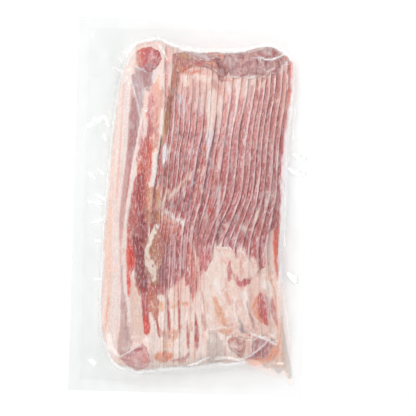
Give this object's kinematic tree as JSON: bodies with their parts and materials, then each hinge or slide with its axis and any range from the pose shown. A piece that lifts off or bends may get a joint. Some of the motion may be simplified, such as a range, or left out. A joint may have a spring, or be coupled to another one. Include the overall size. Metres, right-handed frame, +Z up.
{
  "type": "vacuum pack of sliced pork belly",
  "caption": "Flat clear vacuum bag holding long shingled slices of raw pork belly, with wide film margins and a heat-sealed edge.",
  "frame": {"origin": "middle of the flat underside of the bag, on the surface it lies on", "axes": "+Z up, out of the shown side; +Y along the slices, towards the folded ends; +X across them, away from the fully bare top slice"},
  "size_m": [0.2, 0.32, 0.025],
  "materials": {
    "sealed_meat": "raw pork under tight clear film"
  },
  "bodies": {
    "root": {"sealed_pack": "sealed_meat"}
  },
  "joints": []
}
